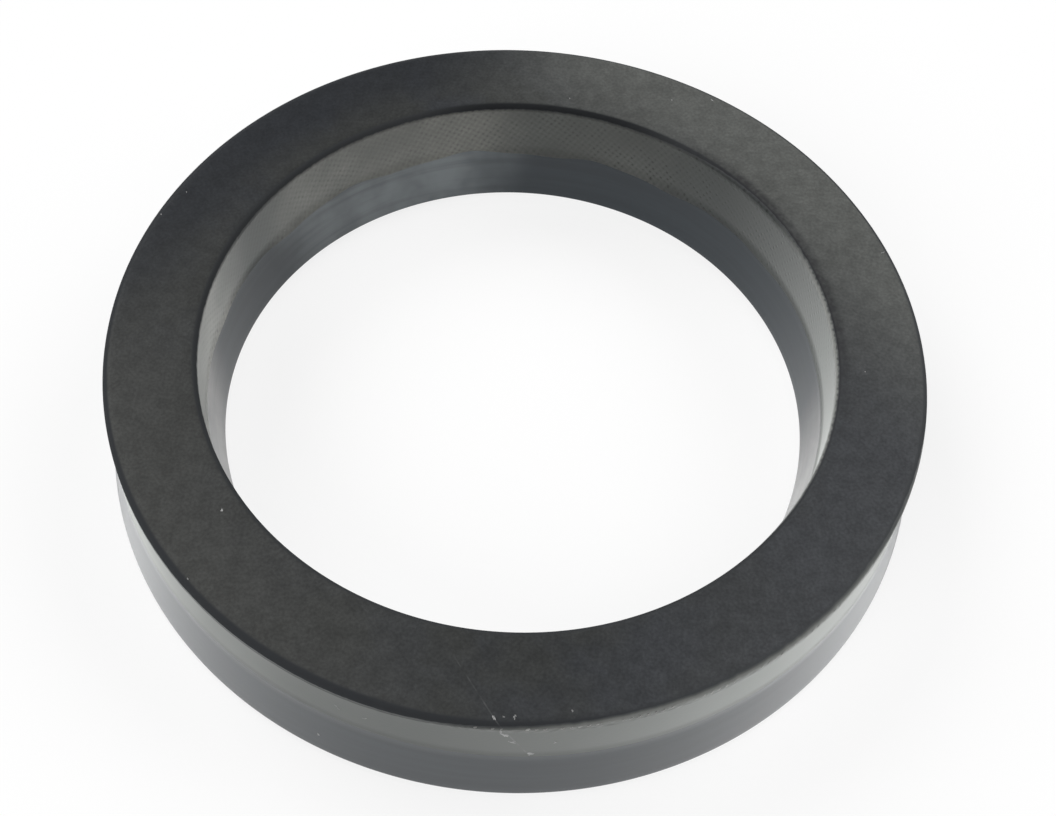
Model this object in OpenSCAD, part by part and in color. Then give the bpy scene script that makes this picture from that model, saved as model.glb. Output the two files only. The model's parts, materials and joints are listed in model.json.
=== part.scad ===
// Rod seal for a hydraulic cylinder: a moulded ring with a flat fabric-reinforced heel
// and two rubber lips on the pressure side, parted by a V groove.
// The ring stands on its lips with the heel up. The origin is on the axis, at the lip rim.
// All sizes are in millimetres.

/* [Rod and housing] */
// Diameter of the rod that slides through the seal
rod_d = 50; // [47:0.5:52.5]
// Diameter of the housing groove that holds the seal
housing_d = 65; // [62:0.5:68]

/* [Heel] */
// Height of the whole seal, from the lip rim to the heel face
seal_h = 11.4; // [10.8:0.1:14]
// Height of the fabric-reinforced heel
heel_h = 5.4; // [3:0.1:6.4]
// Radial gap between the heel and the housing
heel_housing_gap = 0.1; // [0:0.05:0.4]
// Radial gap between the heel and the rod
heel_rod_gap = 0.15; // [0.05:0.05:0.5]
// Rounding of the heel's outer edge
heel_outer_edge_r = 0.7; // [0.2:0.1:1.5]
// Rounding of the heel's inner edge
heel_inner_edge_r = 0.6; // [0.2:0.1:1.5]

/* [Outer lip] */
// Radial squeeze of the outer lip in the housing
outer_lip_squeeze = 0.7; // [0.3:0.1:1.2]
// Height of the outer lip's widest edge above the rim
outer_edge_z = 0.6; // [0.4:0.1:1.2]
// Radial width of the bevel under the widest edge
outer_bevel_w = 0.5; // [0.3:0.1:0.9]
// Radial width of the outer lip's flat rim
outer_rim_w = 2; // [1.2:0.1:2.6]

/* [Inner lip] */
// Radial squeeze of the inner lip on the rod
inner_lip_squeeze = 0.9; // [0.3:0.1:1.2]
// Height of the sealing edge above the outer lip's rim
sealing_edge_z = 1.1; // [0.9:0.1:1.8]
// Radial width of the bevel under the sealing edge
sealing_bevel_w = 0.8; // [0.4:0.1:1.1]
// Radial width of the inner lip's flat rim
inner_rim_w = 1.9; // [1.2:0.1:2.6]
// How far the inner lip stops short of the outer lip's rim
inner_lip_setback = 0.3; // [0:0.1:0.6]

/* [Groove] */
// Full opening angle of the V groove between the lips, in degrees
groove_angle = 36; // [30:1:42]
// Radius of the groove's round root
groove_root_r = 0.9; // [0.5:0.1:1.1]

/* [Edges] */
// Rounding of the lips' moulded edges
lip_edge_r = 0.25; // [0.1:0.05:0.3]
// Rounding of the sealing edge, which stays keen
sealing_edge_r = 0.1; // [0.05:0.05:0.2]

/* [Hidden] */
$fn = 240;

// Dark grey of the moulded rubber
rubber_grey = [0.17, 0.175, 0.17];

// Largest turn, in degrees, between two points of a rounded corner
arc_step = 10;

// Radii of the heel and of the lips' edges
heel_outer_r = housing_d/2 - heel_housing_gap;
heel_inner_r = rod_d/2 + heel_rod_gap;
outer_lip_r = housing_d/2 + outer_lip_squeeze;
sealing_edge_radius = rod_d/2 - inner_lip_squeeze;

// The heel ends, and the lips begin to splay, at this height
lip_top_z = seal_h - heel_h;

// The groove opens between the lips' rims, and its sides would meet at a point above its round root
groove_side = groove_angle/2;
groove_outer_r = outer_lip_r - outer_bevel_w - outer_rim_w;
groove_inner_r = sealing_edge_radius + sealing_bevel_w + inner_rim_w;
groove_apex_z = (groove_outer_r - groove_inner_r)/tan(groove_side)/2 + inner_lip_setback/2;
groove_apex_r = groove_outer_r - groove_apex_z*tan(groove_side);

// The root's rounding ends on the shorter side, clear of the rim's own rounding
groove_side_l = (groove_apex_z - inner_lip_setback)/cos(groove_side) - lip_edge_r/tan(45 + groove_side/2);
groove_fillet_r = min(groove_root_r, groove_side_l*tan(groove_side));

// Corners of the half section as [radius, height, rounding], clockwise from the heel's outer edge
section_corners = [
    [heel_outer_r, seal_h, heel_outer_edge_r],
    [heel_outer_r, lip_top_z, 0],
    [outer_lip_r, outer_edge_z, lip_edge_r],
    [groove_outer_r + outer_rim_w, 0, lip_edge_r],
    [groove_outer_r, 0, lip_edge_r],
    [groove_apex_r, groove_apex_z, groove_fillet_r],
    [groove_inner_r, inner_lip_setback, lip_edge_r],
    [groove_inner_r - inner_rim_w, inner_lip_setback, lip_edge_r],
    [sealing_edge_radius, sealing_edge_z, sealing_edge_r],
    [heel_inner_r, lip_top_z, 0],
    [heel_inner_r, seal_h, heel_inner_edge_r],
];

function point(corner) = [corner.x, corner.y];
function unit(v) = v/norm(v);
function turned(v, angle) = [v.x*cos(angle) - v.y*sin(angle), v.x*sin(angle) + v.y*cos(angle)];

// Points of one corner: the corner itself, or the arc that rounds it
function corner_points(corners, i) =
    let (
        count = len(corners),
        p = point(corners[i]),
        r = corners[i].z,
        back = unit(point(corners[(i + count - 1) % count]) - p),
        ahead = unit(point(corners[(i + 1) % count]) - p),
        half_angle = acos(back*ahead)/2,
        centre = p + unit(back + ahead)*r/sin(half_angle),
        arc_start = p + back*r/tan(half_angle) - centre,
        turn = sign(cross(ahead, back))*(180 - 2*half_angle),
        steps = ceil(abs(turn)/arc_step)
    )
    r == 0 ? [p] : [for (k = [0:steps]) centre + turned(arc_start, turn*k/steps)];

// Half section of the seal
module section() {
    polygon([for (i = [0:len(section_corners) - 1]) each corner_points(section_corners, i)]);
}

module rod_seal() {
    color(rubber_grey) rotate_extrude() section();
}

rod_seal();
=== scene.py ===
"""Dresses a hydraulic rod seal: a ring with a woven, fabric-reinforced heel and two smooth rubber lips."""

import json
import logging
import math
import random
from dataclasses import dataclass, replace
from enum import Enum
from functools import cached_property
from typing import Any, Iterable, Mapping

import bpy
from mathutils import Matrix, Vector


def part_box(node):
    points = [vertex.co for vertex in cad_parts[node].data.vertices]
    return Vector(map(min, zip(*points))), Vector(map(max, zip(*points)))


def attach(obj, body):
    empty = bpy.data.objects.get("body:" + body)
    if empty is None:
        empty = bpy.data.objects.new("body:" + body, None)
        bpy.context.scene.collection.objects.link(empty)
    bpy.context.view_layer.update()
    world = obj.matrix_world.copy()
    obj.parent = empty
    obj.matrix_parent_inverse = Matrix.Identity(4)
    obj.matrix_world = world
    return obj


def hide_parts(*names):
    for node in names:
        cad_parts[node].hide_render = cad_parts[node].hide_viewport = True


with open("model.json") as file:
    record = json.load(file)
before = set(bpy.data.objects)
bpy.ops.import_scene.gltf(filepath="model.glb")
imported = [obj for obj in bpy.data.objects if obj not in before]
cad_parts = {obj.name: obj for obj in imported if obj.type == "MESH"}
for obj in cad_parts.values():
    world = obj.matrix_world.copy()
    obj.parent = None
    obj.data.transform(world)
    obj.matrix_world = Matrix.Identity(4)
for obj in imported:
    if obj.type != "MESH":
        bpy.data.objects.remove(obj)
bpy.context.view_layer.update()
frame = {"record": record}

LOG = logging.getLogger("rod_seal")
MM = 0.001
TURN = 2 * math.pi
QUARTER = math.pi / 2
SAME_SPOT = 1e-7
SAME_TURN = 1e-4

Point = tuple[float, float]
Span = tuple[float, float]
Colour = tuple[float, float, float]
Place = tuple[float, float, float]
Socket = bpy.types.NodeSocket
Material = bpy.types.Material

UP_TO_1: Span = (0.0, 1.0)
DOWN_TO_0: Span = (1.0, 0.0)
WHITE: Colour = (1.0, 1.0, 1.0)

# Spans of a noise's values, from its middle to nearly all of it
NOISE_MIDDLE: Span = (0.35, 0.65)
NOISE_MOST: Span = (0.3, 0.7)
NOISE_WIDE: Span = (0.25, 0.75)
NOISE_ALL: Span = (0.2, 0.8)


class Graph:
    """Writes nodes and links into one shader or geometry node tree."""

    def __init__(self, tree: bpy.types.NodeTree) -> None:
        """Keeps the tree that the nodes go into."""
        self.tree = tree

    def feed(self, node: bpy.types.Node, inputs: Mapping[Any, Any]) -> None:
        """Links a node's inputs to other nodes, or sets their own values.

        Args:
            node: The node.
            inputs: Input name or number to an output socket or a plain value.
        """
        for key, value in inputs.items():
            if isinstance(value, Socket):
                self.tree.links.new(value, node.inputs[key])
            else:
                node.inputs[key].default_value = value

    def add(self, kind: str, inputs: Mapping[Any, Any] | None = None, **settings: Any) -> bpy.types.Node:
        """Adds one node.

        Args:
            kind: The node's type name.
            inputs: What its inputs are fed with.
            **settings: Properties of the node.

        Returns:
            The new node.
        """
        node = self.tree.nodes.new(kind)
        for name, value in settings.items():
            setattr(node, name, value)
        self.feed(node, inputs or {})
        return node

    def out(self, kind: str, inputs: Mapping[Any, Any] | None = None, **settings: Any) -> Socket:
        """Adds one node and gives its first output."""
        return self.add(kind, inputs, **settings).outputs[0]

    def math(self, operation: str, *values: Any) -> Socket:
        """Adds a Math node on sockets or numbers."""
        return self.out("ShaderNodeMath", dict(enumerate(values)), operation=operation)

    def product(self, first: Any, *others: Any) -> Any:
        """Multiplies sockets or numbers.

        Args:
            first: The first factor.
            *others: The further factors.

        Returns:
            The product.
        """
        for other in others:
            first = self.math("MULTIPLY", first, other)
        return first

    def scaled_sum(self, value: Any, factor: Any, rest: Any) -> Socket:
        """Multiplies a value by a factor and adds the rest."""
        return self.math("MULTIPLY_ADD", value, factor, rest)

    def vector(self, operation: str, *values: Any) -> Socket:
        """Adds a Vector Math node that gives a vector."""
        return self.out("ShaderNodeVectorMath", dict(enumerate(values)), operation=operation)

    def scaled(self, vector: Any, factor: Any) -> Socket:
        """Scales a vector or a colour."""
        return self.out("ShaderNodeVectorMath", {0: vector, "Scale": factor}, operation="SCALE")

    def dot(self, vector: Any, direction: Any) -> Socket:
        """Measures how far a vector reaches in a direction of length 1."""
        node = self.add("ShaderNodeVectorMath", {0: vector, 1: direction}, operation="DOT_PRODUCT")
        return node.outputs["Value"]

    def combined(self, x: Any, y: Any, z: Any = 0.0) -> Socket:
        """Makes a vector of three numbers."""
        return self.out("ShaderNodeCombineXYZ", {0: x, 1: y, 2: z})

    def apart(self, vector: Any) -> tuple[Socket, ...]:
        """Takes a vector apart into its three numbers."""
        return tuple(self.add("ShaderNodeSeparateXYZ", {0: vector}).outputs)

    def mix(self, share: Any, first: Any, second: Any) -> Socket:
        """Mixes two numbers by the share of the second one."""
        return self.out("ShaderNodeMix", {0: share, 2: first, 3: second})

    def ramp(self, value: Any, span: Span, onto: Span = UP_TO_1) -> Socket:
        """Maps a span of values smoothly onto another one, and holds its ends beyond it."""
        inputs = dict(zip(("Value", "From Min", "From Max", "To Min", "To Max"), (value, *span, *onto)))
        return self.out("ShaderNodeMapRange", inputs, interpolation_type="SMOOTHSTEP")

    def turned(self, facing: Any, along: Any) -> Socket:
        """Makes the rotation that turns Z to the way a thing faces and X to the way it lies."""
        axes = {"Primary Axis": facing, "Secondary Axis": along}
        return self.out("FunctionNodeAxesToRotation", axes, primary_axis="Z", secondary_axis="X")

    def named(self, name: str, data_type: str = "FLOAT") -> Socket:
        """Reads one of a mesh's own attributes in a geometry tree."""
        return self.out("GeometryNodeInputNamedAttribute", {"Name": name}, data_type=data_type)


class ShaderGraph(Graph):
    """Writes the nodes of one new material, whose patterns read Object coordinates."""

    def __init__(self, name: str) -> None:
        """Makes the material with its Principled shader.

        Args:
            name: The material's name.
        """
        self.material = bpy.data.materials.new(name)
        self.material.use_nodes = True
        super().__init__(self.material.node_tree)
        self.shader = self.tree.nodes["Principled BSDF"]

    @cached_property
    def place(self) -> Socket:
        """Gives the Object coordinates."""
        return self.add("ShaderNodeTexCoord").outputs["Object"]

    @cached_property
    def radius(self) -> Socket:
        """Gives the distance from the ring's axis."""
        flat = self.vector("MULTIPLY", self.place, (1, 1, 0))
        return self.add("ShaderNodeVectorMath", {0: flat}, operation="LENGTH").outputs["Value"]

    def attribute(self, name: str) -> Socket:
        """Reads one of the mesh's own numbers."""
        return self.add("ShaderNodeAttribute", attribute_name=name).outputs["Fac"]

    def noise(self, per_metre: float, detail: float = 2.0, at: Socket | None = None) -> Socket:
        """Adds noise from 0 to 1, with so many features in a metre and octaves of finer ones."""
        inputs = {"Vector": self.place if at is None else at, "Scale": per_metre, "Detail": detail}
        return self.add("ShaderNodeTexNoise", inputs).outputs["Fac"]

    def near(self, side: Place, span: Span, onto: Span = UP_TO_1) -> Socket:
        """Maps the distance towards one side of the ring."""
        return self.ramp(self.dot(self.place, side), span, onto)

    def blend(self, share: Any, first: Any, second: Any) -> Socket:
        """Mixes two colours by the share of the second one."""
        a, b = ((*c, 1.0) if isinstance(c, tuple) else c for c in (first, second))
        return self.add("ShaderNodeMix", {0: share, 6: a, 7: b}, data_type="RGBA").outputs[2]

    def finished(self, colour: Any, rough: Any, height: Any = None, depth: float = 0.0) -> Material:
        """Feeds the shader.

        Args:
            colour: The base colour.
            rough: The roughness.
            height: The height of the surface's small relief, if it has any.
            depth: The depth of a relief of height 1.

        Returns:
            The finished material.
        """
        self.feed(self.shader, {"Base Color": colour, "Roughness": rough})
        if height is not None:
            bump = self.out("ShaderNodeBump", {"Height": height, "Distance": depth})
            self.feed(self.shader, {"Normal": bump})
        return self.material


class Zone(Enum):
    """The stuffs that the ring's surface shows."""

    LIPS = 0
    FACE = 1
    FRAYED = 2
    WALLS = 3

    @property
    def finish(self) -> str:
        """Names the sweep's input for the zone's material."""
        return f"{self.name.title()} Finish"


@dataclass(frozen=True)
class Gloss:
    """A finish's even shine, and the soft bloom that rubber and its dust show at a grazing look."""

    ior: float = 1.5
    specular: float = 0.5
    bloom: float = 1.0
    bloom_roughness: float = 0.43
    bloom_tint: Colour = WHITE

    def dress(self, graph: ShaderGraph) -> None:
        """Sets these values on the shader's own sockets.

        Args:
            graph: The material's nodes.
        """
        values = {
            "IOR": self.ior,
            "Specular IOR Level": self.specular,
            "Sheen Weight": self.bloom,
            "Sheen Roughness": self.bloom_roughness,
            "Sheen Tint": (*self.bloom_tint, 1.0),
        }
        graph.feed(graph.shader, values)


@dataclass(frozen=True)
class Fabric:
    """The heel's plain weave, laid on the bias and counted in whole threads round the ring."""

    threads_round: float = 274.0
    threads_across: float = 172.0
    weft_share: float = 0.85
    wander: float = 0.0022
    wander_per_metre: float = 260.0
    gap_span: Span = (0.35, 0.8)
    open_per_metre: float = 1300.0
    open_span: Span = (0.40, 0.66)

    def weave(self, graph: ShaderGraph) -> tuple[Socket, Socket]:
        """Adds the weave, from the map that follows the ring.

        Args:
            graph: The material's nodes.

        Returns:
            The threads' height from 0 to 1, and a mask of the pinholes between them.
        """
        spread = graph.out("ShaderNodeUVMap", uv_map=SealRing.MAP)
        drift = graph.add("ShaderNodeTexNoise", {"Vector": graph.place, "Scale": self.wander_per_metre})
        centred = graph.vector("SUBTRACT", drift.outputs["Color"], (0.5, 0.5, 0.5))
        u, v, _ = graph.apart(graph.vector("ADD", spread, graph.scaled(centred, self.wander)))
        n, m = self.threads_round, self.threads_across
        warp_at = graph.math("ADD", graph.product(u, n), graph.product(v, m))
        weft_at = graph.math("SUBTRACT", graph.product(v, n), graph.product(u, m))
        warp, weft = (graph.math("COSINE", graph.product(at, math.pi)) for at in (warp_at, weft_at))
        over = graph.product(warp, weft, 0.5)
        warp_round, weft_round = (graph.product(thread, thread) for thread in (warp, weft))
        warp_height = graph.product(warp_round, graph.math("ADD", 0.5, over))
        weft_height = graph.product(weft_round, graph.math("SUBTRACT", 0.5, over))
        height = graph.math("MAXIMUM", warp_height, graph.product(weft_height, self.weft_share))
        gaps = [graph.math("SUBTRACT", 1.0, thread) for thread in (warp_round, weft_round)]
        is_gap = graph.ramp(graph.product(*gaps), self.gap_span)
        is_open = graph.ramp(graph.noise(self.open_per_metre), self.open_span)
        return height, graph.product(is_gap, is_open)


@dataclass(frozen=True)
class Scratch:
    """The one long scratch, across the face and on down the outer wall: a plane through the ring."""

    start: Place = (-3.46 * MM, -27.0 * MM, 11.4 * MM)
    across: Place = (0.772, 0.537, 0.339)
    half_w: float = 0.075 * MM
    core_share: float = 0.2
    fade_in: float = 2.2 * MM
    breaks_per_metre: float = 900.0
    breaks: Span = (0.38, 0.62)
    strength: Span = (0.036, 0.36)

    def mask(self, graph: ShaderGraph) -> Socket:
        """Makes the scratch's mask.

        Args:
            graph: The material's nodes.

        Returns:
            The mask.
        """
        away = graph.vector("SUBTRACT", graph.place, self.start)
        off = graph.math("ABSOLUTE", graph.dot(away, self.across))
        line = graph.ramp(off, (self.core_share * self.half_w, self.half_w), DOWN_TO_0)
        begun = graph.ramp(graph.apart(away)[1], (-self.fade_in, 0.0), DOWN_TO_0)
        broken = graph.ramp(graph.noise(self.breaks_per_metre, detail=1.0), self.breaks, self.strength)
        return graph.product(line, begun, broken)


def towards(degrees: float) -> Place:
    """Gives the level direction, of length 1, at an angle round the ring from the X axis."""
    turn = math.radians(degrees)
    return math.cos(turn), math.sin(turn), 0.0


@dataclass(frozen=True)
class Tone:
    """A slow change of colour towards one side of the ring, over a span of distances that way."""

    side: Place
    span: Span
    colour: Colour
    inner_share: float = 1.0
    inner_fade: Span = (25.5 * MM, 29.5 * MM)
    unevenness: Span = (0.93, 1.07)

    def over(self, graph: ShaderGraph, patches: Socket, skin: Any) -> Socket:
        """Lays the tone over a colour.

        Args:
            graph: The material's nodes.
            patches: Slow noise, which makes the tone uneven.
            skin: The colour underneath.

        Returns:
            The toned colour.
        """
        uneven = graph.ramp(patches, NOISE_MOST, self.unevenness)
        across = graph.ramp(graph.radius, self.inner_fade, (self.inner_share, 1.0))
        share = graph.product(graph.near(self.side, self.span), uneven, across)
        return graph.blend(graph.out("ShaderNodeClamp", {0: share}), skin, self.colour)


@dataclass(frozen=True)
class PaintedHighlight:
    """A pale, cloudy painted highlight on one side of the bore, which stands in for light reflected there.
    """

    colour: Colour
    side: Place
    span: Span = (21.0 * MM, 24.4 * MM)
    shares: Span = (0.0, 0.95)
    clouds_per_metre: float = 230.0
    cloud_span: Span = (0.3, 0.65)
    cloud_shares: Span = (0.55, 1.0)

    def over(self, graph: ShaderGraph, mask: Any, under: Any) -> Socket:
        """Lays the painted highlight over a colour.

        Args:
            graph: The material's nodes.
            mask: Where the painted highlight can lie.
            under: The colour underneath.

        Returns:
            The colour with the painted highlight.
        """
        clouds = graph.noise(self.clouds_per_metre, detail=3.0)
        cloudy = graph.ramp(clouds, self.cloud_span, self.cloud_shares)
        share = graph.product(graph.near(self.side, self.span, self.shares), cloudy, mask)
        return graph.blend(share, under, self.colour)


@dataclass(frozen=True)
class EdgeShade:
    """The colour of the heel's rounded edges, with painted shade on the bore's edge towards the back and
    painted light on the outer edge towards the right.
    """

    outer_colour: Colour = (0.0315, 0.0335, 0.0362)
    # Painted light on the outer edge towards the right
    painted_light_colour: Colour = (0.0580, 0.0610, 0.0640)
    painted_light_side: Place = towards(-20)
    painted_light_span: Span = (14.0 * MM, 30.0 * MM)
    inner_colour: Colour = (0.0390, 0.0410, 0.0434)
    # Painted shade on the bore's edge towards the back
    painted_shade_colour: Colour = (0.0190, 0.0202, 0.0218)
    painted_shade_side: Place = towards(86)
    painted_shade_span: Span = (22.4 * MM, 25.0 * MM)
    between_edges: Span = (28.0 * MM, 29.0 * MM)

    def colour(self, graph: ShaderGraph) -> Socket:
        """Makes the edges' colour.

        Args:
            graph: The material's nodes.

        Returns:
            The colour.
        """
        inner = graph.blend(graph.near(self.painted_shade_side, self.painted_shade_span), self.inner_colour, self.painted_shade_colour)
        outer = graph.blend(graph.near(self.painted_light_side, self.painted_light_span), self.outer_colour, self.painted_light_colour)
        return graph.blend(graph.ramp(graph.radius, self.between_edges, DOWN_TO_0), outer, inner)


@dataclass(frozen=True)
class Crinkles:
    """The fine grain of the heel's surface, and the small crinkles of its skin along the rounded edges."""

    height: float
    grain_per_metre: float = 4200.0
    grain_height: float = 0.3
    per_metre: float = 1700.0
    begin: Span = (0.1, 0.5)
    end: Span = (1.0, 1.7)

    def grain(self, graph: ShaderGraph) -> Socket:
        """Makes the grain, from 0 to 1."""
        return graph.noise(self.grain_per_metre)

    def over(self, graph: ShaderGraph, grain: Socket, threads: Socket) -> Socket:
        """Lays the grain and the crinkles over the relief of the threads.

        Args:
            graph: The material's nodes.
            grain: The grain.
            threads: The threads' relief.

        Returns:
            The whole relief.
        """
        grained = graph.scaled_sum(grain, self.grain_height, threads)
        flank = graph.attribute("flank")
        on_edge = graph.product(graph.ramp(flank, self.begin), graph.ramp(flank, self.end, DOWN_TO_0))
        uneven = graph.math("SUBTRACT", graph.noise(self.per_metre), 0.5)
        return graph.scaled_sum(graph.product(uneven, on_edge), self.height, grained)


@dataclass(frozen=True)
class FaceSkin:
    """The dark skin over the heel's face and edges: a little blue, cloudy, and greyer on one side, with a
    painted highlight towards the back right and painted shade towards the back left.
    """

    fabric: Fabric = Fabric()
    scratch: Scratch = Scratch()
    edge: EdgeShade = EdgeShade()
    crinkles: Crinkles = Crinkles(2.4)
    gloss: Gloss = Gloss(ior=1.32, specular=0.12, bloom=0.0)
    olive_colour: Colour = (0.0335, 0.0348, 0.0342)
    slate_colour: Colour = (0.0314, 0.0335, 0.0367)
    pit_colour: Colour = (0.024, 0.024, 0.026)
    scratch_colour: Colour = (0.14, 0.14, 0.14)
    tones_and_painted_light: tuple[Tone, ...] = (
        Tone(towards(-145), (10 * MM, 34 * MM), (0.0505, 0.0515, 0.0496)),
        Tone(towards(-25), (10 * MM, 34 * MM), (0.0490, 0.0514, 0.0553)),
        # Painted highlight towards the back right, where the back right lamp shines on the face
        Tone(towards(48), (12 * MM, 30 * MM), (0.0955, 0.0988, 0.0941), inner_share=0.90),
        # Painted shade towards the back left
        Tone(towards(135), (17 * MM, 31 * MM), (0.0205, 0.0224, 0.0258), inner_share=0.0),
    )
    patches_per_metre: float = 150.0
    colour_patches: Span = (0.38, 0.62)
    rounding: Span = (0.0, 0.16)
    roughness: Span = (0.38, 0.48)
    edge_roughness: float = 0.85
    weave_shown: Span = (0.08, 0.20)
    weave_tone: float = 0.08
    mean_height: float = 1 / 3
    clouds_per_metre: float = 900.0
    cloud_tone: Span = (0.88, 1.12)
    grain_tone: Span = (0.85, 1.15)
    pitted_side: Place = towards(25)
    pitted_span: Span = (19.0 * MM, 25.0 * MM)
    pitted_rim: Span = (25.7 * MM, 26.4 * MM)
    pitted_shares: Span = (0.8, 0.0)
    pinhole_share: float = 0.7
    blotches_per_metre: float = 1500.0
    blotch_span: Span = (0.38, 0.66)
    blotch_shares: Span = (0.55, 1.0)
    relief: float = 0.035 * MM

    def material(self) -> Material:
        """Makes the skin's material.

        Returns:
            The material.
        """
        graph = ShaderGraph("skinned_face")
        height, pinholes = self.fabric.weave(graph)
        patches = graph.noise(self.patches_per_metre, detail=4.0)
        skin = graph.blend(graph.ramp(patches, self.colour_patches), self.olive_colour, self.slate_colour)
        for tone in self.tones_and_painted_light:
            skin = tone.over(graph, patches, skin)
        grain = self.crinkles.grain(graph)
        shaded = graph.scaled(skin, self.unevenness(graph, height, grain))
        rounded = graph.ramp(graph.attribute("flank"), self.rounding)
        edged = graph.blend(rounded, shaded, self.edge.colour(graph))
        dotted = graph.blend(self.pitted(graph, pinholes), edged, self.pit_colour)
        marked = graph.blend(self.scratch.mask(graph), dotted, self.scratch_colour)
        threads = graph.product(height, graph.ramp(patches, NOISE_MIDDLE, self.weave_shown))
        flat_rough = graph.ramp(patches, NOISE_WIDE, self.roughness)
        rough = graph.mix(rounded, flat_rough, self.edge_roughness)
        self.gloss.dress(graph)
        return graph.finished(marked, rough, self.crinkles.over(graph, grain, threads), self.relief)

    def unevenness(self, graph: ShaderGraph, height: Socket, grain: Socket) -> Socket:
        """Makes the skin's small changes of brightness: clouds, grain and a trace of the weave.

        Args:
            graph: The material's nodes.
            height: The threads' height.
            grain: Fine noise.

        Returns:
            The factor on the skin's colour.
        """
        clouds = graph.ramp(graph.noise(self.clouds_per_metre, detail=3.0), NOISE_WIDE, self.cloud_tone)
        trace = graph.scaled_sum(height, self.weave_tone, 1 - self.weave_tone * self.mean_height)
        fine = graph.product(trace, graph.ramp(grain, NOISE_ALL, self.grain_tone))
        return graph.product(clouds, fine)

    def pitted(self, graph: ShaderGraph, pinholes: Socket) -> Socket:
        """Makes the dark blotches and pits of the skin, which are only near the inner rim of one side.

        Args:
            graph: The material's nodes.
            pinholes: A mask of the fabric's pinholes.

        Returns:
            The pits' share.
        """
        rim = graph.ramp(graph.radius, self.pitted_rim, self.pitted_shares)
        uneven = graph.noise(self.blotches_per_metre, detail=3.0)
        blotches = graph.ramp(uneven, self.blotch_span, self.blotch_shares)
        pits = graph.math("MAXIMUM", graph.product(pinholes, self.pinhole_share), blotches)
        return graph.product(rim, graph.near(self.pitted_side, self.pitted_span), pits)


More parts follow.
